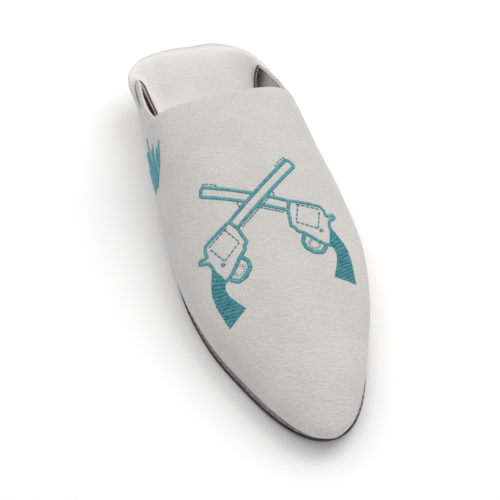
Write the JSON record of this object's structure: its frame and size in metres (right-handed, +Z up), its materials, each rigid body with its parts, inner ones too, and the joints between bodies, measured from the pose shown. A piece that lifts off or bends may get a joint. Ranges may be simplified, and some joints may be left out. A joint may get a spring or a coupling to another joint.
{
  "type": "babouche slipper",
  "caption": "Flat leather slipper with an almond toe and a high plain vamp, its soft back trodden down into a flap over the heel seat.",
  "frame": {"origin": "centre of the bounding box in plan, at the sole's lowest face", "axes": "+Y from toe to heel, +X to the wearer's inner side, +Z up"},
  "size_m": [0.1038, 0.2658, 0.057],
  "materials": {
    "outsole": "thin dark sole sheet, matt",
    "midsole": "grey-mauve stacked leather edge, matt",
    "insole": "smooth pale leather sock",
    "upper": "off-white soft grained leather with a grey-mauve suede lining"
  },
  "bodies": {
    "root": {"outsole": "outsole", "midsole": "midsole", "insole": "insole", "upper": "upper"}
  },
  "joints": []
}
